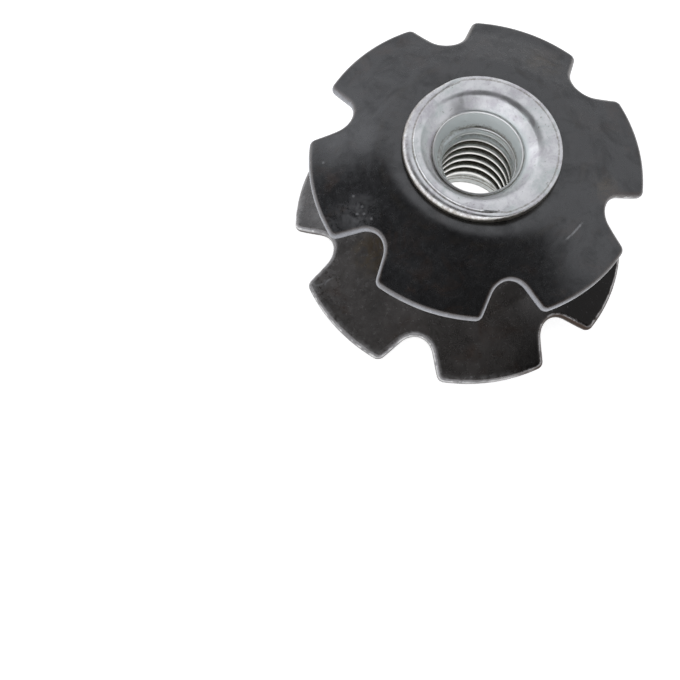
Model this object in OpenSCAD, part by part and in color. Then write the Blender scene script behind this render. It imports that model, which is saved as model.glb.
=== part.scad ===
// Star nut for the steerer tube of a bicycle fork.
// Two stamped spring-steel star discs sit on the ends of one threaded sleeve,
// half a tab out of step, and the sleeve's thin ends are swaged out over them.
// Millimetres. The thread runs along Z, and the discs' crowned side faces +Z.
// The origin is on the axis, level with the lowest edge of the lower disc's tabs.

/* [Star discs] */
// Diameter over the tabs, a little over the bore of the tube that they grip
disc_d = 23.8; // [22.8:0.1:25]
// Thickness of the sheet
sheet_t = 0.8; // [0.75:0.05:1]
// Diameter of the flat crown round the sleeve
crown_d = 13; // [12.4:0.1:13.6]
// Outside radius of the bend from the crown to the skirt
crown_bend_r = 1.8; // [1.4:0.1:2.2]
// Slope of the skirt below the crown, in degrees
skirt_slope = 27; // [25:1:31]
// Radius of the easing bend above the lip
lip_bend_r = 5.4; // [4:0.2:7]
// Slope of the lip at the rim, in degrees
lip_slope = 22; // [17:1:23]
// Width of the straight lip
lip_w = 0.9; // [0.4:0.1:1.2]
// Radius on the rim's two edges
edge_r = 0.35; // [0.15:0.05:0.35]
// Height from one disc to the next
disc_pitch = 10.2; // [9.6:0.1:11.5]

/* [Tabs] */
// Number of tabs on each disc
tab_count = 6; // [5:1:7]
// Depth of the notch between two tabs
notch_depth = 2.3; // [2:0.1:2.6]
// Radius of the notch's round floor
notch_r = 1.5; // [1.3:0.1:1.6]
// How far each side of the notch leans outwards, in degrees
notch_flare = 34; // [28:1:38]
// Radius on the tabs' corners
corner_r = 0.55; // [0.3:0.05:0.6]

/* [Sleeve] */
// Thread size of the bolt
thread_d = 6; // [5:0.5:6]
// Pitch of that thread
thread_pitch = 1; // [0.8:0.05:1]
// Length of the tapped wall
thread_l = 6.5; // [5.5:0.1:6.7]
// Depth of the thread below the upper crown
thread_depth = 1.7; // [1.5:0.1:1.9]
// Diameter of the barrel between the discs
barrel_d = 10; // [9.6:0.1:10.6]
// Diameter of the necks that pass through the discs
neck_d = 8.4; // [8.2:0.1:8.8]
// Bore at the mouth of the swaged wall on the crowned side, which tapers in to the thread
crown_bore_d = 6.1; // [6:0.1:6.4]
// Bore inside the swaged wall on the bolt's side
bolt_bore_d = 6.6; // [6.4:0.1:6.8]

/* [Collars] */
// Diameter of the swaged collars
collar_d = 11.3; // [11.2:0.1:11.8]
// Height of a collar's flat face over its disc
collar_h = 0.75; // [0.75:0.05:0.9]
// Height of the lip that the swaging raised round that face
lip_ring_h = 0.7; // [0.6:0.05:0.7]
// Distance from a collar's edge to the middle of the groove inside its lip
lip_ring_w = 0.55; // [0.5:0.05:0.6]
// Depth of that groove below the lip
groove_depth = 0.1; // [0.05:0.01:0.12]
// Diameter at which a collar's face starts to fall into the funnel
funnel_d = 9.1; // [8.9:0.1:9.3]
// Slope of the funnel's rounded shoulder where it ends, in degrees
funnel_slope = 42; // [38:1:46]

/* [Hidden] */
$fn = 96;

// Half section of a disc, with z = 0 on top of its crown
bend_steps = 6;
nose_steps = 4;
crown_r = crown_d / 2;
rim_r = disc_d / 2 + edge_r * (cos(lip_slope) + sin(lip_slope) - 1);
skirt_in = [crown_r + crown_bend_r * sin(skirt_slope), -crown_bend_r * (1 - cos(skirt_slope))];
skirt_out_r = rim_r - lip_w - lip_bend_r * (sin(skirt_slope) - sin(lip_slope));
skirt_out = [skirt_out_r, skirt_in.y - (skirt_out_r - skirt_in.x) * tan(skirt_slope)];
lip_bend_c = skirt_out + lip_bend_r * [sin(skirt_slope), cos(skirt_slope)];
lip_in = lip_bend_c - lip_bend_r * [sin(lip_slope), cos(lip_slope)];
rim = lip_in + lip_w * [1, -tan(lip_slope)];
lip_along = [cos(lip_slope), -sin(lip_slope)];
lip_normal = [sin(lip_slope), cos(lip_slope)];
nose_top = rim - edge_r * (lip_along + lip_normal);
nose_low = nose_top - (sheet_t - 2 * edge_r) * lip_normal;

// How far a notch's sides pass inside its floor's circle, so that they cross it cleanly
side_overlap = 0.02;

// Heights of the crowns' tops
lower_crown_z = edge_r - nose_low.y;
upper_crown_z = lower_crown_z + disc_pitch;

// Thread, cut here at its minor diameter, with a chamfer at each end
// that stops a little short of the major diameter
chamfer_short = 0.25;
minor_r = (thread_d - thread_pitch) / 2;
chamfer = thread_d / 2 - chamfer_short - minor_r;
thread_top = upper_crown_z - thread_depth;
thread_bottom = thread_top - thread_l;

// Half section of a collar, with z = 0 on its disc: the foot that stands on the disc,
// the lip, the groove, the funnel's shoulder and the ledge round the bore's mouth
foot_round = 0.1;
lip_round = 0.25;
groove_r = 0.2;
groove_rise = 0.1;
funnel_round = 0.6;
ledge_w = 0.4;
ledge_depth = 0.05;

function arc(c, r, from, to, steps) =
    [for (i = [0:steps]) let (a = from + (to - from) * i / steps) c + r * [cos(a), sin(a)]];

// The sheet's two faces run side by side, so each bend is a pair of arcs on one centre
function disc_section() = concat(
    [[neck_d / 2, 0]],
    arc([crown_r, -crown_bend_r], crown_bend_r, 90, 90 - skirt_slope, bend_steps),
    arc(lip_bend_c, lip_bend_r, 270 - skirt_slope, 270 - lip_slope, bend_steps),
    arc(nose_top, edge_r, 90 - lip_slope, -lip_slope, nose_steps),
    arc(nose_low, edge_r, -lip_slope, -90 - lip_slope, nose_steps),
    arc(lip_bend_c, lip_bend_r + sheet_t, 270 - lip_slope, 270 - skirt_slope, bend_steps),
    arc([crown_r, -crown_bend_r], crown_bend_r - sheet_t, 90 - skirt_slope, 90, bend_steps),
    [[neck_d / 2, -sheet_t]]
);

// Plan of the notch that lies on +X: a round floor and two leaning sides,
// with a small cutter beside each side that rounds the tab's corner
module notch_plan() {
    floor_c = disc_d / 2 - notch_depth + notch_r;
    lean = [cos(notch_flare), sin(notch_flare)];
    side = [-sin(notch_flare), cos(notch_flare)];
    start = [floor_c, 0] + (notch_r - side_overlap) * side;
    stop = start + disc_d / 4 * lean;
    // The corner's centre lies corner_r inside both the side and the rim
    base = start + corner_r * side;
    reach = disc_d / 2 - corner_r;
    run = sqrt(pow(base * lean, 2) - base * base + reach * reach) - base * lean;
    corner_c = base + run * lean;
    radial = corner_c / norm(corner_c);

    translate([floor_c, 0]) circle(r = notch_r);
    polygon([[floor_c, 0], start, stop, [stop.x, -stop.y], [start.x, -start.y]]);
    for (m = [0, 1]) mirror([0, m]) difference() {
        polygon([
            corner_c,
            corner_c - 2 * corner_r * side,
            corner_c + 2 * corner_r * (radial - side),
            corner_c + 2 * corner_r * radial
        ]);
        translate(corner_c) circle(r = corner_r);
    }
}

// One stamped disc, with its first tab on +X
module star_disc() {
    difference() {
        rotate_extrude() polygon(disc_section());
        for (i = [0:tab_count - 1])
            rotate((i + 0.5) * 360 / tab_count)
                translate([0, 0, -disc_d / 4])
                    linear_extrude(disc_d / 2) notch_plan();
    }
}

module upper_star_disc() {
    color("DimGray") translate([0, 0, upper_crown_z]) star_disc();
}

module lower_star_disc() {
    color("DimGray") translate([0, 0, lower_crown_z]) rotate(180 / tab_count) star_disc();
}

// From the shoulder under a disc, round the collar that is swaged over it and
// down the funnel to the bore; z is measured away from the disc's outer face
function collar_section(bore_r) = let (
    edge = collar_d / 2,
    groove = [edge - lip_ring_w, lip_ring_h - groove_depth + groove_r],
    groove_side = asin(1 - groove_depth / groove_r),
    groove_end = groove.x - groove_r * cos(groove_side)
) concat(
    [[neck_d / 2, -sheet_t], [neck_d / 2, 0]],
    arc([edge - foot_round, foot_round], foot_round, -90, 0, nose_steps),
    arc([edge - lip_round, lip_ring_h - lip_round], lip_round, 0, 90, nose_steps),
    arc(groove, groove_r, -groove_side, groove_side - 180, nose_steps),
    [[groove_end - groove_rise, collar_h]],
    arc([funnel_d / 2, collar_h - funnel_round], funnel_round, 90, 90 + funnel_slope, nose_steps),
    [[bore_r + ledge_w, -ledge_depth], [bore_r, -ledge_depth]]
);

// Half section of the sleeve, from the upper shoulder down the bore and back up the barrel
function sleeve_section() = concat(
    [for (p = collar_section(crown_bore_d / 2)) [p.x, upper_crown_z + p.y]],
    [
        [minor_r + chamfer, thread_top + chamfer],
        [minor_r, thread_top],
        [minor_r, thread_bottom],
        [minor_r + chamfer, thread_bottom - chamfer],
        [bolt_bore_d / 2, thread_bottom - chamfer]
    ],
    reversed([for (p = collar_section(bolt_bore_d / 2)) [p.x, lower_crown_z - sheet_t - p.y]]),
    [[barrel_d / 2, lower_crown_z], [barrel_d / 2, upper_crown_z - sheet_t]]
);

function reversed(list) = [for (i = [len(list) - 1:-1:0]) list[i]];

module threaded_sleeve() {
    color("Silver") rotate_extrude() polygon(sleeve_section());
}

upper_star_disc();
lower_star_disc();
threaded_sleeve();
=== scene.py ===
# Star nut: two sprung star discs swaged onto the ends of one threaded sleeve.
# Lengths are written in millimetres and turned into metres where a vertex is placed.
import bpy
import math
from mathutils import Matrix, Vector


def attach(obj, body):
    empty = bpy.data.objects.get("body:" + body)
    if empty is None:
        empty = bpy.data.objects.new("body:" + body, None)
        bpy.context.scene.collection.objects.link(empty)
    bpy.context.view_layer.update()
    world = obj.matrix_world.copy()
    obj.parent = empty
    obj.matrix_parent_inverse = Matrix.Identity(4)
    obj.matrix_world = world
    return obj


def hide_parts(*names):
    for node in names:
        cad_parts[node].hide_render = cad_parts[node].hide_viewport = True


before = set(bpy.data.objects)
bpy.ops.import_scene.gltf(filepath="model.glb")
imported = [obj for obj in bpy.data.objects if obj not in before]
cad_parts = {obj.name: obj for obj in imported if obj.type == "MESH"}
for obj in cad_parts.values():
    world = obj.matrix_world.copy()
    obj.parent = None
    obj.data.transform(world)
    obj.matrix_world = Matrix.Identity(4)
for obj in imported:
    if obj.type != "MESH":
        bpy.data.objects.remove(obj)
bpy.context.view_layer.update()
print("frame loaded")

mm = 0.001
crownHeight = {"upper": 13.3025, "lower": 3.1025}  # tops of the two discs' crowns
sheetThickness = 0.8


def deselectAll():
    if bpy.context.object and bpy.context.object.mode != "OBJECT":
        bpy.ops.object.mode_set(mode="OBJECT")
    bpy.ops.object.select_all(action="DESELECT")


def makeActive(piece):
    deselectAll()
    piece.select_set(True)
    bpy.context.view_layer.objects.active = piece


def bakeModifiers(piece):
    makeActive(piece)
    for modifier in list(piece.modifiers):
        bpy.ops.object.modifier_apply(modifier=modifier.name)


def applyPlace(piece):
    makeActive(piece)
    bpy.ops.object.transform_apply(location=True, rotation=True, scale=True)


def smoothPiece(piece, degrees):
    makeActive(piece)
    bpy.ops.object.shade_smooth_by_angle(angle=math.radians(degrees))


def wovenTube(name, rowCount, sides, placePoint):
    # a flat circle is drawn outwards row by row, each row is set to its own shape,
    # and the two ends are joined
    inner, rowGap = 2, 0.05  # radius of the first flat circle, and how much wider each next one is
    deselectAll()
    bpy.ops.mesh.primitive_circle_add(vertices=sides, radius=inner * mm)
    piece = bpy.context.object
    piece.name = name
    bpy.ops.object.mode_set(mode="EDIT")
    bpy.ops.mesh.select_mode(type="EDGE")
    bpy.ops.mesh.select_all(action="SELECT")
    for row in range(1, rowCount):
        grow = (inner + rowGap * row) / (inner + rowGap * (row - 1))
        bpy.ops.mesh.extrude_edges_move()
        bpy.ops.transform.resize(value=(grow, grow, 1), center_override=(0, 0, 0))
    bpy.ops.object.mode_set(mode="OBJECT")
    marks = piece.data.attributes.new("surfacePlace", "FLOAT", "POINT")
    for index, vertex in enumerate(piece.data.vertices):
        row = round((math.hypot(vertex.co.x, vertex.co.y) / mm - inner) / rowGap)
        place = round(math.atan2(vertex.co.y, vertex.co.x) / (2 * math.pi) * sides) % sides
        point, marks.data[index].value = placePoint(row, place)
        vertex.co = point * mm
    bpy.ops.object.mode_set(mode="EDIT")
    bpy.ops.mesh.select_all(action="DESELECT")
    bpy.ops.mesh.select_non_manifold()
    bpy.ops.mesh.bridge_edge_loops()
    bpy.ops.mesh.select_all(action="SELECT")
    bpy.ops.mesh.normals_make_consistent(inside=False)
    bpy.ops.object.mode_set(mode="OBJECT")
    return piece


def arcPoints(centre, radius, start, stop, steps):
    angles = [math.radians(start + (stop - start) * i / steps) for i in range(steps + 1)]
    return [(centre[0] + radius * math.cos(a), centre[1] + radius * math.sin(a)) for a in angles]


def smoothStep(low, high, value):
    t = min(max((value - low) / (high - low), 0), 1)
    return t * t * (3 - 2 * t)


# short ways to add shader nodes, all on the object's own coordinates;
# a value may be a number, a colour or another node's output
class NodeSet:
    def __init__(self, name):
        self.material = bpy.data.materials.new(name)
        self.material.use_nodes = True
        self.nodes, self.links = self.material.node_tree.nodes, self.material.node_tree.links
        self.shader = self.nodes["Principled BSDF"]
        self.coords = self.nodes.new("ShaderNodeTexCoord").outputs["Object"]

    def put(self, socket, value):
        if isinstance(value, (int, float)):
            socket.default_value = value
        elif isinstance(value, tuple):
            socket.default_value = value + (1,) * (len(socket.default_value) - len(value))
        else:
            self.links.new(value, socket)

    def noise(self, scale, detail=4.0, rough=0.55, distortion=0.0):
        node = self.nodes.new("ShaderNodeTexNoise")
        keys = ("Scale", scale), ("Detail", detail), ("Roughness", rough), ("Distortion", distortion)
        for key, number in keys:
            node.inputs[key].default_value = number
        self.links.new(self.coords, node.inputs["Vector"])
        return node.outputs["Fac"]

    def ramp(self, value, low, high, toLow=0.0, toHigh=1.0, curve="LINEAR"):
        node = self.nodes.new("ShaderNodeMapRange")
        node.interpolation_type = curve
        keys = ("From Min", low), ("From Max", high), ("To Min", toLow), ("To Max", toHigh)
        for key, number in keys:
            node.inputs[key].default_value = number
        self.links.new(value, node.inputs["Value"])
        return node.outputs["Result"]

    def maths(self, kind, *values):
        node = self.nodes.new("ShaderNodeMath")
        node.operation = kind
        for socket, value in zip(node.inputs, values):
            self.put(socket, value)
        return node.outputs["Value"]

    def blend(self, factor, first, second):
        node = self.nodes.new("ShaderNodeMix")
        node.data_type = "RGBA"
        for socket, value in ((node.inputs[0], factor), (node.inputs[6], first), (node.inputs[7], second)):
            self.put(socket, value)
        return node.outputs[2]

    def bump(self, height, strength, distance, normal=None):
        node = self.nodes.new("ShaderNodeBump")
        self.put(node.inputs["Strength"], strength)
        node.inputs["Distance"].default_value = distance * mm
        self.links.new(height, node.inputs["Height"])
        if normal:
            self.links.new(normal, node.inputs["Normal"])
        return node.outputs["Normal"]

    def attribute(self, name):
        node = self.nodes.new("ShaderNodeAttribute")
        node.attribute_name = name
        return node.outputs["Fac"]

    def axes(self):
        node = self.nodes.new("ShaderNodeSeparateXYZ")
        self.links.new(self.coords, node.inputs["Vector"])
        return node.outputs

    def fromAxis(self, centre=(0, 0)):
        # distance from an upright axis, in millimetres; the thread's own if no other is given
        flat = [self.maths("SUBTRACT", way, place * mm) for way, place in zip(self.axes(), centre)]
        squares = self.maths("ADD", *[self.maths("MULTIPLY", way, way) for way in flat])
        return self.maths("MULTIPLY", self.maths("SQRT", squares), 1 / mm)

    def towards(self, direction, low, high):
        # 0 to 1 along a level direction, between two distances in millimetres
        x, y, z = self.axes()
        along = self.maths("MULTIPLY_ADD", x, direction[0], self.maths("MULTIPLY", y, direction[1]))
        return self.ramp(along, low * mm, high * mm)

    def strip(self, value, start, full, fade, end):
        # 1 between full and fade, 0 before start and after end
        return self.maths("MULTIPLY", self.ramp(value, start, full), self.ramp(value, fade, end, 1, 0))

    def spot(self, centre, radius, soft):
        # 1 inside a ball round this point, fading to 0 over the soft distance
        node = self.nodes.new("ShaderNodeVectorMath")
        node.operation = "DISTANCE"
        self.links.new(self.coords, node.inputs[0])
        node.inputs[1].default_value = [value * mm for value in centre]
        return self.ramp(node.outputs["Value"], radius * mm, (radius + soft) * mm, 1, 0, "SMOOTHSTEP")


# what the two discs' coatings share
blackOxide = {
    "rust": (0.05, 0.027, 0.016),
    "oldOil": (0.085, 0.06, 0.03),
    # painted shade, for the side of the lower disc that lies in the upper disc's shade
    "paintedShade": (0.012, 0.011, 0.010),
    "stain": (0.06, 0.05, 0.036),
    "dust": (0.24, 0.24, 0.24),
    "rubbedAndLit": (0.38, 0.39, 0.42),
    "bare": (0.66, 0.65, 0.64),
    "broken": (0.045, 0.03, 0.022),
    "roughness": (0.19, 0.3),
    "ior": 2.0,
    "rubbedAndLitSide": (-0.82, -0.57),  # level direction of the side whose rim is painted paler: rubbed most, and a painted highlight from the white light on that side
    "dullShadedSide": (0.9, -0.43),  # level direction of the dull side, which also gets painted shade; the opposite side is the dusty one
    "dustySpan": (-9, 1),  # along dullShadedSide, from full dust to none
    "dullSpan": (3, 8),  # along dullShadedSide, from none to full
    "paintedShadeSpan": (6, 9),
    # noises: scale, detail, roughness and distortion
    "cloud": (260, 5, 0.6),
    "grain": (2600, 4, 0.65),
    "streaks": (1100, 5, 0.75, 1.2),
    "mottle": (620, 5, 0.65, 0.6),
    "hairs": (2200, 6, 0.9, 2.5),
    "rusting": (420, 4, 0.7, 0.6),
    "specks": (6500, 2, 0.5),
    "flecks": (1300, 3, 0.6),
    # bumps: strength and height in millimetres
    "cloudBump": (0.25, 0.02),
    "mottleBump": (0.2, 0.012),
    "grainBump": (0.25, 0.005),
    "rustReach": (7, 11.5, 0.25, 0.6),  # two radii, and how strongly it rusts at each
    "dustSpread": 0.13,  # over which a speck becomes full
    "dotStrength": 0.8,
    "scuffStrength": 0.16,
    "scuffDulling": 0.2,
    "dotSize": (0.03, 0.12),  # radius and soft rim
    "scratchWidth": (0.03, 0.09),  # half of it, and where it has faded out
    "dieMarkWidth": (0.02, 0.3),
    # strips round the cut edge, from 0 at its upper face to 1 at its lower:
    # where each starts, is full, fades and ends
    "brokenStrip": (0, 0.12, 0.93, 1),
    "innerStrip": (-0.9, 0.1, 0.2, 0.3),
    "burrStrip": (0.88, 0.93, 0.96, 1),
    "outerStrip": (0, 0.06, 0.86, 0.92),  # its first two are counted from the end of the pale band
    # metallic share of the bare line, the pale band and the rest of the cut edge
    "bareShine": 0.6,
    "bandShine": 0.25,
    "outerShine": 0.75,
}

upperOxide = {
    "dark": (0.0122, 0.0118, 0.0118),
    "worn": (0.023, 0.0225, 0.0225),
    "dusty": (0.03, 0.03, 0.0315),
    "dull": 0,  # metallic share on the dull side, and the strength of the painted shade there
    "hairs": 0.3,  # how far fine hairs break the dust up
    "dustLevel": 0.83,  # noise level above which a speck of dust lies
    "rubbedAndLitSpan": (-1.5, 3.5),  # along the rubbed and lit side, where the paler rim begins and where it is full
    "band": (0.14, 0.28, 0.6, 0.68),  # the pale band's strip: rubbed wear and a painted highlight
    "bandColour": 0.9,
    "innerWear": 0,  # strength of the paler band just inside the rim on the rubbed and lit side: wear, partly a painted highlight
    "brightOn": (0.2, 0.3, 0.4, 0.5, 0),  # the thin bare line, partly a painted highlight, on the rubbed and lit side: its strip and strength
    "brightOff": (0.33, 0.38, 0.46, 0.52, 0.75),  # and off that side
    # scuffs and stains: centre, radius and soft rim
    "scuffs": [((-9.0, -2.75, 12.0), 0.5, 1.2), ((-10.3, 2.0, 11.5), 0.2, 0.9),
               ((-10.4, -3.3, 11.3), 0.7, 1.5)],
    "stains": [((8.3, -3.6, 12.0), 0.2, 1.4), ((6.2, 7.2, 12.2), 0.3, 1.8)],
    "dots": [(-9.36, -1.5, 12.0), (-8.93, -2.45, 12.1), (-8.93, -3.0, 12.05), (-9.35, -2.85, 11.85),
             (-8.5, -3.5, 12.15), (-7.5, -2.75, 12.6), (-10.8, 1.75, 11.3), (5.82, -6.32, 12.47)],
    # scratches: centre and radius of the curve, then the middle, radius and soft rim of the part that shows
    "scratches": [((0, 0), 8.58, (5.3, -6.75, 12.5), 0.55, 0.6)],
    "dieMark": 7.25,  # radius of the faint ring that the crowning die left
}

lowerOxide = {
    "dark": (0.048, 0.043, 0.039),
    "worn": (0.085, 0.077, 0.071),
    "dusty": (0.15, 0.142, 0.135),
    "dull": 0.9,
    "hairs": 1,
    "dustLevel": 0.69,
    "rubbedAndLitSpan": (3.5, 7),
    "band": (0.12, 0.26, 0.34, 0.4),
    "bandColour": 0.3,
    "innerWear": 0.22,
    "brightOn": (0.2, 0.26, 0.35, 0.4, 1),
    "brightOff": (0.06, 0.1, 0.16, 0.22, 0.6),
    "scuffs": [((-10.5, -2.7, 1.1), 0.3, 1.2)],
    "stains": [((-6.9, -1.7, 2.7), 0.8, 1.3)],
    "dots": [(-11.0, 0.6, 1.0)],
    "scratches": [((-10.9, -2.2), 0.5, (-11.0, -2.6, 1.0), 0.3, 0.4),
                  ((-10.0, -3.2), 0.7, (-10.3, -2.6, 1.2), 0.2, 0.3)],
    "dieMark": None,
}


def blackOxideMaterial(name, look):
    b = blackOxide
    n = NodeSet(name)
    cloud, grain = n.noise(*b["cloud"]), n.noise(*b["grain"])
    streaks, mottle = n.noise(*b["streaks"]), n.noise(*b["mottle"])
    radius = n.fromAxis()

    # the coating itself, worn thinner in clouds, dusty on one side
    thin = n.ramp(n.maths("ADD", cloud, n.ramp(streaks, 0.3, 0.7, -0.1, 0.1)), 0.38, 0.66)
    colour = n.blend(thin, look["dark"], look["worn"])
    dustySide = n.maths("SUBTRACT", 1, n.towards(b["dullShadedSide"], *b["dustySpan"]))
    hairs = n.ramp(n.noise(*b["hairs"]), 0.42, 0.6, 1 - look["hairs"], 1)
    dusty = n.maths("MULTIPLY", dustySide, n.maths("MULTIPLY", n.ramp(streaks, 0.3, 0.65, 0.2, 1), hairs))
    colour = n.blend(dusty, colour, look["dusty"])
    rusty = n.ramp(n.noise(*b["rusting"]), 0.52, 0.7)
    rusty = n.maths("MULTIPLY", rusty, n.ramp(radius, *b["rustReach"]))
    colour = n.blend(rusty, colour, b["rust"])
    roughness = n.ramp(grain, 0.3, 0.7, *b["roughness"])
    # it is duller where the metallic share is raised, since its own colour is nearly black; on the same side
    # the colour is painted darker, as painted shade where the upper disc shades the lower one
    dullShadedSide = n.maths("MULTIPLY", n.towards(b["dullShadedSide"], *b["dullSpan"]), look["dull"])
    paintedShadeSide = n.maths("MULTIPLY", n.towards(b["dullShadedSide"], *b["paintedShadeSpan"]), look["dull"])
    colour = n.blend(paintedShadeSide, colour, b["paintedShade"])
    dull = n.maths("MAXIMUM", n.ramp(mottle, 0.46, 0.66, 0, 0.3), dullShadedSide)
    dustFull = look["dustLevel"] + b["dustSpread"]
    specks = n.ramp(n.noise(*b["specks"]), look["dustLevel"], dustFull, 0, b["dotStrength"])
    colour = n.blend(specks, colour, b["dust"])

    # scuffed patches, a few pale dots, stains, scratches and the mark of the crowning die
    for centre, size, soft in look["scuffs"]:
        patch = n.maths("MULTIPLY", n.spot(centre, size, soft), n.ramp(streaks, 0.36, 0.7))
        pale = n.maths("MULTIPLY", patch, n.maths("MULTIPLY", hairs, b["scuffStrength"]))
        colour = n.blend(pale, colour, b["dust"])
        roughness = n.maths("MULTIPLY_ADD", patch, b["scuffDulling"], roughness)
    for centre in look["dots"]:
        dot = n.maths("MULTIPLY", n.spot(centre, *b["dotSize"]), b["dotStrength"])
        colour = n.blend(dot, colour, b["dust"])
    for centre, size, soft in look["stains"]:
        patch = n.maths("MULTIPLY", n.spot(centre, size, soft), n.ramp(streaks, 0.42, 0.6, 0, 0.8))
        colour = n.blend(patch, colour, b["oldOil"])
    for centre, reach, window, size, soft in look["scratches"]:
        offLine = n.maths("ABSOLUTE", n.maths("SUBTRACT", n.fromAxis(centre), reach))
        shown = n.maths("MULTIPLY", n.spot(window, size, soft), n.ramp(grain, 0.4, 0.55, 0.3, 1))
        line = n.maths("MULTIPLY", n.ramp(offLine, *b["scratchWidth"], 1, 0), shown)
        colour = n.blend(line, colour, b["dust"])
    if look["dieMark"]:
        offRing = n.maths("ABSOLUTE", n.maths("SUBTRACT", radius, look["dieMark"]))
        ring = n.ramp(offRing, *b["dieMarkWidth"], 1, 0)
        ring = n.maths("MULTIPLY", ring, n.ramp(mottle, 0.45, 0.7, 0, 0.5))
        colour = n.blend(ring, colour, b["stain"])

    # the cut edge: broken at both corners, painted paler in a band on the side that faces the white light, as
    # rubbed wear and a painted highlight, and bare along a thin line that is partly a painted highlight
    place = n.maths("ADD", n.attribute("surfacePlace"), n.ramp(grain, 0.3, 0.7, -0.03, 0.03))
    handled = n.towards(b["rubbedAndLitSide"], *look["rubbedAndLitSpan"])
    rubbedAndLit = n.ramp(n.maths("ADD", handled, n.ramp(mottle, 0.3, 0.7, -0.2, 0.2)), 0, 1)
    colour = n.blend(n.strip(place, *b["brokenStrip"]), colour, b["broken"])
    inner = n.maths("MULTIPLY", n.strip(place, *b["innerStrip"]), n.ramp(streaks, 0.35, 0.6))
    inner = n.maths("MULTIPLY", n.maths("MULTIPLY", inner, rubbedAndLit), look["innerWear"])
    colour = n.blend(inner, colour, b["bare"])
    band = n.maths("MULTIPLY", n.strip(place, *look["band"]), rubbedAndLit)
    patchy = n.ramp(mottle, 0.35, 0.65, look["bandColour"] * 0.75, look["bandColour"])
    band = n.maths("MULTIPLY", band, patchy)
    colour = n.blend(band, colour, b["rubbedAndLit"])
    flecks = n.ramp(n.noise(*b["flecks"]), 0.38, 0.56, 0.15, 1)
    bare = n.maths("MULTIPLY", n.strip(place, *b["burrStrip"]), n.ramp(streaks, 0.4, 0.55, 0, 0.8))
    unrubbedAndUnlit = n.maths("SUBTRACT", 1, rubbedAndLit)
    for side, (*strip, strength) in ((rubbedAndLit, look["brightOn"]), (unrubbedAndUnlit, look["brightOff"])):
        line = n.maths("MULTIPLY", n.strip(place, *strip), n.maths("MULTIPLY", side, strength))
        bare = n.maths("MAXIMUM", bare, n.maths("MULTIPLY", line, flecks))
    colour = n.blend(bare, colour, b["bare"])
    start, full, fade, end = b["outerStrip"]
    outer = n.strip(place, look["band"][3] + start, look["band"][3] + full, fade, end)
    metallic = n.maths("MAXIMUM", dull, n.maths("MULTIPLY", outer, b["outerShine"]))
    metallic = n.maths("MAXIMUM", metallic, n.maths("MULTIPLY", band, b["bandShine"]))
    metallic = n.maths("MAXIMUM", metallic, n.maths("MULTIPLY", bare, b["bareShine"]))

    n.put(n.shader.inputs["Base Color"], colour)
    n.put(n.shader.inputs["Metallic"], metallic)
    n.put(n.shader.inputs["Roughness"], roughness)
    n.shader.inputs["IOR"].default_value = b["ior"]
    rolling = n.bump(mottle, *b["mottleBump"], n.bump(cloud, *b["cloudBump"]))
    n.put(n.shader.inputs["Normal"], n.bump(grain, *b["grainBump"], rolling))
    return n.material


zinc = {
    "bright": (0.96, 0.955, 0.95),
    "lilac": (0.79, 0.765, 0.79),
    "green": (0.80, 0.84, 0.82),
    # painted light: the bore's wall is paler than the plating outside
    "wall": (0.92, 0.97, 0.95),
    "polished": (0.9, 0.9, 0.88),
    "grimeAndShade": (0.36, 0.33, 0.28),
    "oilAndShade": (0.14, 0.12, 0.09),
    "roughness": (0.28, 0.46),
    "metallic": (0.9, 0.15),  # outside and in the bore
    "boreFade": (3.2, 3.5),  # radii between which the bore's look gives way to the outside's
    # noises: scale, detail, roughness and distortion
    "blotch": (900, 4, 0.65, 0.5),
    "fine": (3800, 3, 0.7),
    "scuff": (2000, 5, 0.75, 1.5),
    "tint": (600, 2, 0.5),
    "pits": (5600, 2, 0.5),
    # wear and painted shade, from 1 where an edge is polished, through 0, down to -1 where oil has stayed;
    # the values below 0 also paint shade into hollows, creases and thread flanks:
    # where each look begins and where it is full
    "polishSpan": (0.1, 0.8),
    "grimeAndShadeSpan": (-0.1, -0.5),
    "oilAndShadeSpan": (-0.5, -0.9),
    "raggedBy": 0.2,
    # bumps: strength and height in millimetres; the dents fade out towards the bore
    "dentFade": (3.1, 3.8, 0.1, 0.55),
    "dentHeight": 0.03,
    "scuffBump": (0.3, 0.008),
    "fineBump": (0.35, 0.006),
}


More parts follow.
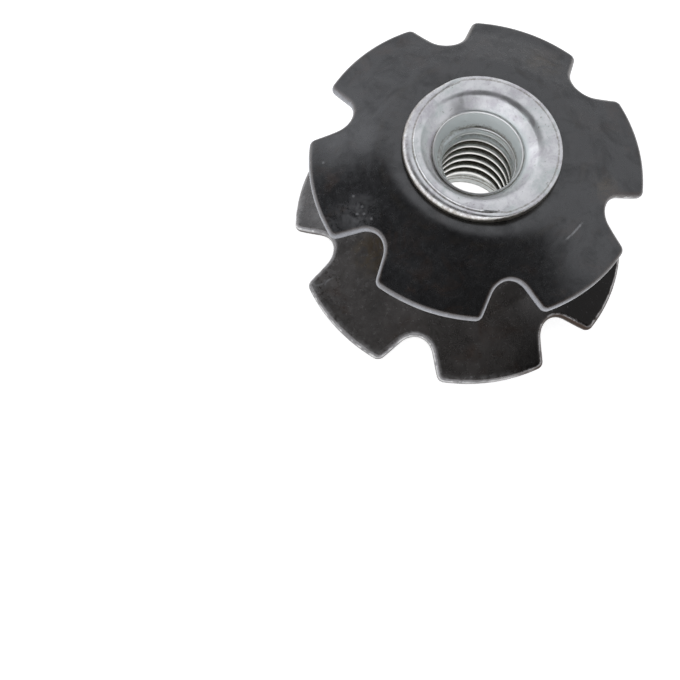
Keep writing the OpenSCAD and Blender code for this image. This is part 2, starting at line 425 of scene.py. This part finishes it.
def zincMaterial(name):
    z = zinc
    n = NodeSet(name)
    blotch, fine, scuff = n.noise(*z["blotch"]), n.noise(*z["fine"]), n.noise(*z["scuff"])
    radius = n.fromAxis()
    tint = n.blend(n.ramp(n.noise(*z["tint"]), 0.5, 0.62), z["lilac"], z["green"])
    patch = n.maths("ADD", blotch, n.ramp(scuff, 0.3, 0.7, -0.1, 0.1))
    colour = n.blend(n.ramp(patch, 0.4, 0.64), z["bright"], tint)
    pits = n.maths("MULTIPLY", n.ramp(n.noise(*z["pits"]), 0.62, 0.7), n.ramp(scuff, 0.5, 0.6, 0, 0.75))
    colour = n.blend(pits, colour, z["grimeAndShade"])
    # the bore's wall is painted paler and less metallic than the plating outside: painted light that makes up
    # for the little light reaching into the bore
    inBore = n.ramp(radius, *z["boreFade"], 1, 0)
    colour = n.blend(inBore, colour, z["wall"])
    ragged = n.ramp(fine, 0.25, 0.75, -z["raggedBy"], z["raggedBy"])
    wearAndShade = n.maths("ADD", n.attribute("surfacePlace"), ragged)
    polished = n.ramp(wearAndShade, *z["polishSpan"])
    colour = n.blend(polished, colour, z["polished"])
    # darker where the value is below 0: grime and oil, partly painted shade in the hollows, creases and
    # thread flanks
    colour = n.blend(n.ramp(wearAndShade, *z["grimeAndShadeSpan"]), colour, z["grimeAndShade"])
    colour = n.blend(n.ramp(wearAndShade, *z["oilAndShadeSpan"]), colour, z["oilAndShade"])
    n.put(n.shader.inputs["Base Color"], colour)
    n.put(n.shader.inputs["Metallic"], n.maths("MAXIMUM", n.ramp(inBore, 0, 1, *z["metallic"]), polished))
    n.put(n.shader.inputs["Roughness"], n.ramp(patch, 0.35, 0.65, *z["roughness"]))
    dents = n.bump(blotch, n.ramp(radius, *z["dentFade"]), z["dentHeight"])
    scuffed = n.bump(scuff, *z["scuffBump"], dents)
    n.put(n.shader.inputs["Normal"], n.bump(fine, *z["fineBump"], scuffed))
    return n.material


print("materials ready")

starDisc = {
    "hole": 4.2,
    "crown": 6.07,
    "crownBend": 3.6,
    "skirtSlope": 27,
    "rings": 8.3,  # inside this radius the rows of faces are plain circles
    "ringRadii": (5, 5.6),  # of the circles on the flat crown
    "bendRings": 7,
    "skirtRings": 3,
    "rim": 12.03,
    "lipStart": 10.677,
    "lipBend": 5.4,
    "lipSlope": 22,
    "tabs": 6,
    "notchDepth": 2.42,
    "notchRadius": 1.5,
    "notchFlare": 34,
    "corner": 0.58,
    "edgeRadius": 0.39,
    "sides": 360,
    "tabRows": 10,
    "tabSpacing": 0.85,  # below 1 the rows lie closer to the edge
    "edgeRows": 12,
    # faces along the notch's floor, its side and the corner; the tab's rim takes the rest of the sides
    "floorSteps": 8,
    "sideSteps": 3,
    "cornerSteps": 8,
    "inFrontOfEdge": -1,  # surfacePlace on the upper face
    "behindEdge": 2,  # and on the lower one
    "smoothAngle": 40,
}


def sheetDrop(radius):
    # how far the sheet's upper face lies below the crown at this radius, and its slope there
    d = starDisc
    slope, lip = math.radians(d["skirtSlope"]), math.radians(d["lipSlope"])
    bendEnd = d["crown"] + d["crownBend"] * math.sin(slope)
    if radius <= d["crown"]:
        return 0, 0
    if radius <= bendEnd:
        angle = math.asin((radius - d["crown"]) / d["crownBend"])
        return d["crownBend"] * (1 - math.cos(angle)), angle
    drop = d["crownBend"] * (1 - math.cos(slope))
    drop += (min(radius, d["lipStart"]) - bendEnd) * math.tan(slope)
    if radius <= d["lipStart"]:
        return drop, slope
    ease = d["lipBend"] * (math.sin(slope) - math.sin(lip))
    eased = min(radius - d["lipStart"], ease)
    angle = math.asin(math.sin(slope) - eased / d["lipBend"])
    drop += d["lipBend"] * (math.cos(angle) - math.cos(slope))
    return drop + (radius - d["lipStart"] - eased) * math.tan(lip), angle


def starOutline():
    # half of one tab, from the middle of a notch to the middle of the tab: points and outward directions
    d = starDisc
    flare = math.radians(d["notchFlare"])
    lean = Vector((math.cos(flare), math.sin(flare)))
    side = Vector((-math.sin(flare), math.cos(flare)))
    floorCentre = Vector((d["rim"] - d["notchDepth"] + d["notchRadius"], 0))
    sideStart = floorCentre + d["notchRadius"] * side
    base = sideStart + d["corner"] * side
    reach = d["rim"] - d["corner"]
    run = math.sqrt(base.dot(lean) ** 2 - base.length_squared + reach ** 2) - base.dot(lean)
    cornerCentre = base + run * lean
    sideStop = cornerCentre - d["corner"] * side
    cornerAngle = math.degrees(math.atan2(cornerCentre.y, cornerCentre.x))
    floorSteps, sideSteps, cornerSteps = d["floorSteps"], d["sideSteps"], d["cornerSteps"]
    rimSteps = d["sides"] // d["tabs"] // 2 - floorSteps - sideSteps - cornerSteps
    floorArc = arcPoints(floorCentre, d["notchRadius"], 180, 90 + d["notchFlare"], floorSteps)
    line = [(Vector(p), (floorCentre - Vector(p)).normalized()) for p in floorArc]
    line += [(sideStart.lerp(sideStop, i / sideSteps), -side) for i in range(1, sideSteps + 1)]
    cornerArc = arcPoints(cornerCentre, d["corner"], d["notchFlare"] - 90, cornerAngle, cornerSteps)
    line += [(Vector(p), (Vector(p) - cornerCentre).normalized()) for p in cornerArc[1:]]
    rimArc = arcPoints((0, 0), d["rim"], cornerAngle, 180 / d["tabs"], rimSteps)
    line += [(Vector(p), Vector(p).normalized()) for p in rimArc[1:]]
    return line


def turned(vector, angle):
    return Vector((vector.x * math.cos(angle) - vector.y * math.sin(angle),
                   vector.x * math.sin(angle) + vector.y * math.cos(angle)))


def fullOutline():
    # the whole star, one entry for each of the disc's sides, starting in the first notch
    d = starDisc
    half = starOutline()
    tab = half + [(p * Vector((1, -1)), n * Vector((1, -1))) for p, n in reversed(half[1:-1])]
    perTab = d["sides"] // d["tabs"]
    whole = []
    for count in range(d["sides"]):
        turn = math.pi / d["tabs"] * (1 + 2 * (count // perTab))
        place = count % perTab
        if place > perTab // 2:
            turn += 2 * math.pi / d["tabs"]
        whole.append(tuple(turned(v, turn) for v in tab[place]))
    return whole


def sheetPoint(flat, depth, outward=None, push=0.0):
    # a point in the sheet: depth below its upper face, pushed outwards along the sheet
    radius = flat.length
    drop, slope = sheetDrop(radius)
    radial = flat / radius
    normal = Vector((radial.x * math.sin(slope), radial.y * math.sin(slope), math.cos(slope)))
    point = Vector((flat.x, flat.y, -drop)) - depth * normal
    if outward is not None:
        downhill = Vector((radial.x * math.cos(slope), radial.y * math.cos(slope), -math.sin(slope)))
        across = outward - outward.dot(radial) * radial
        along = outward.dot(radial) * downhill + Vector((across.x, across.y, 0))
        point += push * along
    return point


def makeStarDisc(name):
    d = starDisc
    bendEnd = d["crown"] + d["crownBend"] * math.sin(math.radians(d["skirtSlope"]))
    rings = [d["hole"], *d["ringRadii"]]
    rings += [d["crown"] + (bendEnd - d["crown"]) * i / d["bendRings"] for i in range(d["bendRings"] + 1)]
    rings += [bendEnd + (d["rings"] - bendEnd) * i / d["skirtRings"] for i in range(1, d["skirtRings"] + 1)]
    amounts = [(i / d["tabRows"]) ** d["tabSpacing"] for i in range(d["tabRows"] + 1)]
    edge, wall = d["edgeRadius"], sheetThickness
    # the rows of the sheet, over the top, round the edge and back underneath to the hole:
    # kind, amount, depth and surfacePlace
    rows = [("ring", r, 0, d["inFrontOfEdge"]) for r in rings]
    rows += [("tab", amount, 0, d["inFrontOfEdge"]) for amount in amounts[1:-1]]
    rows.append(("tab", 1, 0, 0))
    for i in range(1, d["edgeRows"]):
        angle = math.pi * i / d["edgeRows"]
        depth = edge * (1 - math.cos(angle)) + (0 if angle <= math.pi / 2 else wall - 2 * edge)
        rows.append(("edge", edge * math.sin(angle), depth, i / d["edgeRows"]))
    rows.append(("tab", 1, wall, 1))
    rows += [("tab", amount, wall, d["behindEdge"]) for amount in amounts[-2:0:-2]]
    rows += [("ring", r, wall, d["behindEdge"]) for r in reversed(rings)]
    outline = fullOutline()

    def placePoint(row, place):
        kind, amount, depth, surface = rows[row]
        angle = 2 * math.pi * place / d["sides"]
        direction = Vector((math.cos(angle), math.sin(angle)))
        if kind == "ring":
            return sheetPoint(direction * amount, depth), surface
        point, outward = outline[(place - d["sides"] // d["tabs"] // 2) % d["sides"]]
        inset = point - edge * outward
        if kind == "tab":
            return sheetPoint((direction * d["rings"]).lerp(inset, amount), depth), surface
        return sheetPoint(inset, depth, outward, amount), surface

    piece = wovenTube(name, len(rows), d["sides"], placePoint)
    smoothPiece(piece, d["smoothAngle"])
    return piece


def copyPiece(piece, name):
    twin = piece.copy()
    twin.data = piece.data.copy()
    twin.name = name
    bpy.context.collection.objects.link(twin)
    return twin


upperDisc = makeStarDisc("upperStarDisc")
lowerDisc = copyPiece(upperDisc, "lowerStarDisc")
upperDisc.location.z = crownHeight["upper"] * mm
lowerDisc.location.z = crownHeight["lower"] * mm
lowerDisc.rotation_euler.z = math.pi / starDisc["tabs"]
dressed = (upperDisc, "upper_star_disc", upperOxide), (lowerDisc, "lower_star_disc", lowerOxide)
for disc, node, look in dressed:
    applyPlace(disc)
    disc.data.materials.append(blackOxideMaterial(disc.name + "Oxide", look))
    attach(disc, "root")
    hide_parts(node)
print("star discs made")


sleeve = {
    "neck": 4.2,
    "barrel": 5,
    "barrelRound": 0.1,
    "collar": 5.65,
    "collarHeight": 0.75,
    # the collar's underside: radius counted from its edge, height over the disc, wear and painted shade; it
    # is dark where the collar meets the disc, as painted shade
    "collarFoot": [(-0.12, 0, -1), (-0.02, 0.06, -0.6)],
    "lipHeight": 0.71,
    # up and over the lip to the groove, as a share of the lip's width, and height; then the wear and painted
    # shade on it, darkest at the bead's foot
    "bead": [(0, 0.26), (0.05, 0.4), (0.15, 0.52), (0.33, 0.63), (0.55, 0.69), (0.8, 0.71), (1, 0.69)],
    "lipWearAndShade": [-0.65, -0.38, -0.32, -0.26, -0.12, -0.03, 0],
    # the plain edge where there is no lip: distance in from the collar's edge, and height
    "plainEdge": [(0, 0.4), (0, 0.6), (0.01, 0.67), (0.03, 0.72), (0.07, 0.745), (0.12, 0.75), (0.16, 0.75)],
    "lipWidth": (0.3, 0.72),  # narrowest and widest, from the edge to the groove's middle
    "lipToGroove": 0.11,  # from the end of the bead to the groove's middle
    "lipSide": math.radians(-175),  # where the lip is widest; it fades out on the other side
    "lipFade": (0, 0.3),
    "grooveDepth": 0.08,
    "grooveWearAndShade": -0.35,
    # across the groove: distance out from its middle, and share of its depth, which also sets how dark it is
    # painted, as grime and painted shade
    "groove": [(0.09, 0.3), (0.04, 0.8), (0, 1), (-0.04, 0.7), (-0.09, 0.1), (-0.15, 0)],
    "flatEnd": 4.74,
    "funnel": 4.58,
    "funnelRound": 0.7,
    "funnelEnd": 134,  # degrees at which the shoulder's arc stops; it starts at 90
    "funnelSteps": 8,
    "funnelShift": (0.01, 0.02),  # share of the punch's shift at its start, and more for each step
    # two rows close together keep the funnel's slope straight down to its foot: radius, height, shift, wear
    # and painted shade
    "funnelFoot": [(3.36, -0.097, 0.185, 0), (3.3, -0.15, 0.19, 0)],
    # the crease at that foot and the thin raised rim of the bore: radius beyond it, height, shift, wear and
    # painted shade; the crease is painted dark as painted shade
    "boreRim": [(0.16, -0.16, 0.2, -0.5), (0.13, -0.12, 0.2, -0.4), (0.12, -0.02, 0.2, 0.8),
                (0.09, 0, 0.2, 1), (0.04, 0, 0.2, 1), (0, -0.04, 0.2, 1), (-0.02, -0.12, 0.2, 0.1)],
    "crownBore": 3.07,
    "boltBore": 3.3,
    "wornSide": math.radians(-115),  # where the crown's bore is worn wider and lower
    "wornBy": (0.13, -0.22),
    # down the bore: the tapered mouth, with heights from the crown
    "mouthWall": [(2.97, -0.75, 0.15, 0), (2.88, -1.1, 0.12, 0)],
    # a ledge and the part-formed first turn, with heights from the ridge's upper end; its dark rows are
    # grime, partly painted shade
    "leadWall": [(2.84, 0.12, 0.1, -0.2), (2.8, -0.08, 0.1, -0.35), (2.77, -0.14, 0.1, -0.7),
                 (2.75, -0.15, 0.1, 0.9), (2.7, -0.18, 0.09, 1), (2.66, -0.24, 0.07, 1),
                 (2.65, -0.38, 0.07, 1), (2.66, -0.44, 0.07, 0), (2.69, -0.6, 0.05, -0.3),
                 (2.74, -0.8, 0.03, -0.5), (2.83, -1.05, 0, -0.5), (3, -1.4, 0, -0.7), (3, -2.2, 0, -1)],
    # the end of the thread and the scored bore on the bolt's side, with heights from the ridge's lower end;
    # the dark rows in the scores and under the thread's end are partly painted shade
    "boltWall": [(3, 0.6, 0, -1), (3, 0.4, 0, 0), (3, 0, 0, 0), (3.24, 0, 0, 0), (3.25, -1.18, 0, -0.1),
                 (3.3, -1.27, 0, -0.8), (3.28, -1.38, 0, -0.2), (3.26, -1.57, 0, -0.1),
                 (3.3, -1.68, 0, -0.8), (3.28, -1.8, 0, 0), (3.27, -2.18, 0, 0), (3.3, -2.26, 0, -0.5),
                 (3.28, -2.32, 0, 0)],
    "sides": 240,
    "smoothAngle": 35,
    # the swaging punch ran a little off the axis, its own way at each end
    "upperPunch": Vector((-1.1, 0.28, 0)),
    "lowerPunch": Vector((0.6, 0.21, 0)),
}

thread = {
    "top": 11.6025,
    "bottom": 5.1025,
    "major": 3,
    "minor": 2.56,
    "pitch": 1,
    "flank": math.tan(math.radians(30)),
    "leadIn": 0.25,  # how far the part-formed turns run on at each end
    "leadSlope": 0.8,  # how fast those turns fade out
    "endGap": 0.004,
    "crestWidth": 0.2,  # half of it
    "crestRound": [(0.06, 0.03), (0.03, 0), (0, -0.05)],  # beyond the minor radius, and beyond crestWidth
    "midFlank": (0.25, 0.22),  # beyond the minor radius, and along the flank
    "rootDepth": 0.08,  # how far the ridge's root is sunk in the wall
    "firstCrest": math.radians(96),  # where round the bore the ridge starts
    "steps": 120,  # to a turn
    # the crest, its shoulder and the flank: how far out each reaches, and its wear and painted shade
    # near the thread's top and deep in the bore; the flanks are painted darker deeper down, as painted shade
    "wearAndShade": [(0.035, 0.3, 1), (0.1, 0, -0.55), (1, -0.3, -1)],
    "deepSpan": (0.9, 2),  # distances below the thread's top between which the one becomes the other
}


def collarRows(bore):
    # from under the collar, over it and down its funnel:
    # kind, radius, height over the disc, share of the punch's shift, wear and painted shade
    s = sleeve
    high = s["collarHeight"]
    rows = [("plain", s["neck"], -sheetThickness, 0, 0), ("plain", s["neck"], 0, 0, -1)]
    rows += [("plain", s["collar"] + inset, height, 0, wearAndShade) for inset, height, wearAndShade in s["collarFoot"]]
    rows += [("lip", i, 0, 0, wearAndShade) for i, wearAndShade in enumerate(s["lipWearAndShade"])]
    rows += [("groove", offset, share, 0, s["grooveWearAndShade"] * share) for offset, share in s["groove"]]
    rows.append(("plain", s["flatEnd"], high, 0, 0))
    shoulderCentre = s["funnel"], high - s["funnelRound"]
    shoulder = arcPoints(shoulderCentre, s["funnelRound"], 90, s["funnelEnd"], s["funnelSteps"])
    first, more = s["funnelShift"]
    rows += [("plain", r, z, first + more * i, 0) for i, (r, z) in enumerate(shoulder)]
    rows += [("rim",) + foot for foot in s["funnelFoot"]]
    rows += [("rim", bore + offset, z, shift, wearAndShade) for offset, z, shift, wearAndShade in s["boreRim"]]
    return rows


def collarPoint(kind, radius, height, shift, punch, angle):
    # the lip and its groove run round one side of the collar only; a lip's row gives its number for a radius,
    # and a groove's row gives its distance from the groove's middle and its share of the depth
    s = sleeve
    side = math.cos(angle - s["lipSide"])
    present = smoothStep(*s["lipFade"], side)
    low, high = s["lipWidth"]
    width = low + (high - low) * max(side, 0) ** 0.5
    if kind == "lip":
        (share, beadHeight), (inset, plainHeight) = s["bead"][radius], s["plainEdge"][radius]
        radius = s["collar"] - (1 - present) * inset - present * share * (width - s["lipToGroove"])
        height = plainHeight + present * (beadHeight - plainHeight)
    if kind == "groove":
        share = height
        ridge = s["lipHeight"] if radius > 0 else s["collarHeight"]
        base = ridge + (1 - present) * (s["collarHeight"] - ridge)
        radius, height = s["collar"] - width + radius, base - s["grooveDepth"] * share * present
    if kind == "rim" and punch == s["upperPunch"]:
        worn = max(math.cos(angle - s["wornSide"]), 0)
        radius, height = radius + worn * s["wornBy"][0], height + worn * s["wornBy"][1]
    return Vector((radius * math.cos(angle), radius * math.sin(angle), height)) + shift * punch


def makeSleeve():
    s = sleeve
    top, bottom = crownHeight["upper"], crownHeight["lower"] - sheetThickness
    start, stop = thread["top"] + thread["leadIn"] - top, thread["bottom"] - thread["leadIn"] - top
    wall = s["mouthWall"] + [(r, start + z, shift, wearAndShade) for r, z, shift, wearAndShade in s["leadWall"]]
    wall += [(r, stop + z, shift, wearAndShade) for r, z, shift, wearAndShade in s["boltWall"]]
    low, high, bevel = crownHeight["lower"], top - sheetThickness, s["barrelRound"]
    barrel = [(s["barrel"] - bevel, low), (s["barrel"], low + bevel),
              (s["barrel"], high - bevel), (s["barrel"] - bevel, high)]
    # every row ends with its punch, the level that its height is counted from and the way that height runs
    rows = [row + (s["upperPunch"], top, 1) for row in collarRows(s["crownBore"])]
    rows += [("plain",) + row + (s["upperPunch"], top, 1) for row in wall]
    rows += [row + (s["lowerPunch"], bottom, -1) for row in reversed(collarRows(s["boltBore"]))]
    rows += [("plain", r, z, 0, 0, s["upperPunch"], 0, 1) for r, z in barrel]

    def placePoint(row, place):
        kind, radius, height, shift, wearAndShade, punch, level, way = rows[row]
        point = collarPoint(kind, radius, height, shift, punch, 2 * math.pi * place / s["sides"])
        point.z = level + way * point.z
        return point, wearAndShade

    return wovenTube("threadedSleeve", len(rows), s["sides"], placePoint)


def makeThreadRidge():
    # the outline of one tooth, wound down the whole bore and pressed flat at both ends
    t = thread
    minor, root, half = t["minor"], t["major"] + t["rootDepth"], t["crestWidth"]
    rounded = [(minor + beyond, half + wider) for beyond, wider in t["crestRound"]]
    flankStart = rounded[1][0]
    wallWidth = half + (root - flankStart) * t["flank"]
    midFlank = minor + t["midFlank"][0], half + t["midFlank"][1] * t["flank"]
    upper = [(root, wallWidth), midFlank] + rounded
    outline = upper + [(r, -z) for r, z in reversed(upper)]
    top, bottom = t["top"] + t["leadIn"], t["bottom"] - t["leadIn"]
    deselectAll()
    bpy.ops.mesh.primitive_circle_add(vertices=len(outline), radius=mm)
    ridge = bpy.context.object
    ridge.name = "threadRidge"
    for vertex, (r, z) in zip(ridge.data.vertices, outline):
        flat = r * math.cos(t["firstCrest"]), r * math.sin(t["firstCrest"])
        vertex.co = Vector(flat + (bottom - wallWidth + z,)) * mm
    turns = (top - bottom + 2 * wallWidth) / t["pitch"]
    wind = ridge.modifiers.new("wind", "SCREW")
    wind.axis = "Z"
    wind.angle = 2 * math.pi * turns
    wind.screw_offset = t["pitch"] * turns * mm
    wind.steps = wind.render_steps = round(t["steps"] * turns)
    bakeModifiers(ridge)
    marks = ridge.data.attributes.new("surfacePlace", "FLOAT", "POINT")
    for index, vertex in enumerate(ridge.data.vertices):
        height = min(max(vertex.co.z / mm, bottom + t["endGap"]), top - t["endGap"])
        beyond = max(height - t["top"], t["bottom"] - height, 0)
        radius = math.hypot(vertex.co.x, vertex.co.y) / mm
        grow = max(1, (minor + t["leadSlope"] * beyond) / radius)
        vertex.co = (vertex.co.x * grow, vertex.co.y * grow, height * mm)
        deep = smoothStep(*t["deepSpan"], t["top"] - height)
        atMouth, atDepth = next(wearAndShade for reach, *wearAndShade in t["wearAndShade"] if radius * grow - minor < reach)
        marks.data[index].value = atMouth + (atDepth - atMouth) * deep
    bpy.ops.object.mode_set(mode="EDIT")
    bpy.ops.mesh.select_all(action="SELECT")
    bpy.ops.mesh.normals_make_consistent(inside=False)
    bpy.ops.object.mode_set(mode="OBJECT")
    return ridge


sleevePiece = makeSleeve()
ridge = makeThreadRidge()
makeActive(sleevePiece)
ridge.select_set(True)
bpy.ops.object.join()
sleevePiece.data.materials.append(zincMaterial("zincPlate"))
smoothPiece(sleevePiece, sleeve["smoothAngle"])
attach(sleevePiece, "root")
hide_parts("threaded_sleeve")
print("sleeve made")


studio = {
    "floorSize": 1.2,
    "floorColour": (0.8, 0.8, 0.8),
    "floorRoughness": 0.9,
    "floorSpecular": 0.1,
    "floorLift": 0.85,  # how much the paper glows where it is looked at, so that it stays white
    "white": 1.5,  # strength of the white side of the room
    "whiteSide": (-0.9, -0.45),  # shares of away and right that point to the white side
    "whiteSpan": (-0.25, 0.35),
    "whiteHeights": (0.8, 0.5),  # the white side fades in below these
    "sky": 0.71,  # strength of the rest
    "skySides": (1.1, 0.94),  # at the camera's left and right
    "sideSpan": (-0.8, 0.8),
    "backDimming": 0.3,
    "backSpan": (0.4, 1),
    "backHeights": (0.8, 0.1),  # the dimming grows down between these
    "skyTint": (0.96, 0.98, 1.035),
    "turn": math.radians(25.52),  # from the frame's axes to right and away
    "gap": 0.03,  # strength of the unlit gap over the table
    "gapTurn": math.radians(20),  # further turn of the gap's long axis
    "gapCentre": (5.5, -15),  # degrees from the zenith, along the gap and across it
    "gapSize": (68, 30),
    "gapRim": (0.85, 1.15),  # as shares of its size
}


def makeFloor():
    deselectAll()
    bpy.ops.mesh.primitive_plane_add(size=studio["floorSize"], location=(0, 0, 0))
    floor = bpy.context.object
    floor.name = "floor"
    n = NodeSet("floorPaper")
    n.put(n.shader.inputs["Base Color"], studio["floorColour"])
    n.put(n.shader.inputs["Roughness"], studio["floorRoughness"])
    n.put(n.shader.inputs["Specular IOR Level"], studio["floorSpecular"])
    path = n.nodes.new("ShaderNodeLightPath").outputs
    seen = n.maths("MAXIMUM", path["Is Camera Ray"], path["Is Glossy Ray"])
    seen = n.maths("MAXIMUM", seen, path["Is Transmission Ray"])
    n.put(n.shader.inputs["Emission Color"], (1, 1, 1))
    n.put(n.shader.inputs["Emission Strength"], n.maths("MULTIPLY", seen, studio["floorLift"]))
    floor.data.materials.append(n.material)


class WorldNodes(NodeSet):
    def __init__(self, world):
        # the same for a world, whose coordinates are directions
        self.nodes, self.links = world.node_tree.nodes, world.node_tree.links
        self.shader = self.nodes["Background"]
        self.directions = self.nodes.new("ShaderNodeTexCoord").outputs["Generated"]

    def turnedAxes(self, angle):
        turn = self.nodes.new("ShaderNodeMapping")
        turn.inputs["Rotation"].default_value = (0, 0, angle)
        self.links.new(self.directions, turn.inputs["Vector"])
        self.coords = turn.outputs["Vector"]
        return self.axes()


def makeWorld():
    world = bpy.data.worlds.new("studio")
    bpy.context.scene.world = world
    world.use_nodes = True
    n = WorldNodes(world)
    along, across, up = n.turnedAxes(studio["turn"] + studio["gapTurn"])
    # the unlit gap is an ellipse beside the zenith; the tiny value keeps the division below from 0
    flat = n.maths("SUBTRACT", 1, n.maths("MULTIPLY", up, up))
    flat = n.maths("SQRT", n.maths("MAXIMUM", flat, 0.000001))
    spread = n.maths("DIVIDE", n.maths("ARCCOSINE", up), flat)
    reach = []
    for way, centre, size in zip((along, across), studio["gapCentre"], studio["gapSize"]):
        offset = n.maths("MULTIPLY_ADD", way, spread, -math.radians(centre))
        share = n.maths("DIVIDE", offset, math.radians(size))
        reach.append(n.maths("MULTIPLY", share, share))
    lit = n.ramp(n.maths("SQRT", n.maths("ADD", *reach)), *studio["gapRim"], 0, 1, "SMOOTHSTEP")
    # the sky, a little darker low down at the back, and white low down on the camera's left
    right, away, up = n.turnedAxes(studio["turn"])
    leftSky, rightSky = (studio["sky"] * side for side in studio["skySides"])
    sky = n.ramp(right, *studio["sideSpan"], leftSky, rightSky)
    behind = n.maths("MULTIPLY", n.ramp(up, *studio["backHeights"]), n.ramp(away, *studio["backSpan"]))
    sky = n.maths("MULTIPLY", sky, n.maths("MULTIPLY_ADD", behind, -studio["backDimming"], 1))
    awayShare, rightShare = studio["whiteSide"]
    side = n.maths("MULTIPLY_ADD", away, awayShare, n.maths("MULTIPLY", right, rightShare))
    side = n.ramp(side, *studio["whiteSpan"], 0, 1, "SMOOTHSTEP")
    low = n.maths("MULTIPLY", n.ramp(up, *studio["whiteHeights"], 0, 1, "SMOOTHSTEP"), side)
    strength = n.maths("MULTIPLY_ADD", low, n.maths("SUBTRACT", studio["white"], sky), sky)
    strength = n.maths("MAXIMUM", n.maths("MULTIPLY", strength, lit), studio["gap"])
    seen = n.nodes.new("ShaderNodeLightPath").outputs["Is Camera Ray"]
    n.put(n.shader.inputs["Strength"], n.maths("MAXIMUM", strength, seen))
    n.put(n.shader.inputs["Color"], n.blend(seen, studio["skyTint"], (1.0, 1.0, 1.0)))


makeFloor()
makeWorld()

cameraView = {
    "sensorWidth": 36,
    "location": (-0.0611, -0.124987, 0.258929),
    "rotation": (25.824, -5.847, -11.438),
    "lens": 213.51,
}
cameraData = bpy.data.cameras.new("camera")
cameraData.sensor_width = cameraView["sensorWidth"]
cameraData.lens = cameraView["lens"]
camera = bpy.data.objects.new("camera", cameraData)
camera.location = cameraView["location"]
camera.rotation_euler = [math.radians(angle) for angle in cameraView["rotation"]]
bpy.context.collection.objects.link(camera)
bpy.context.scene.camera = camera
bpy.context.scene.view_settings.view_transform = "Standard"
print("studio ready")
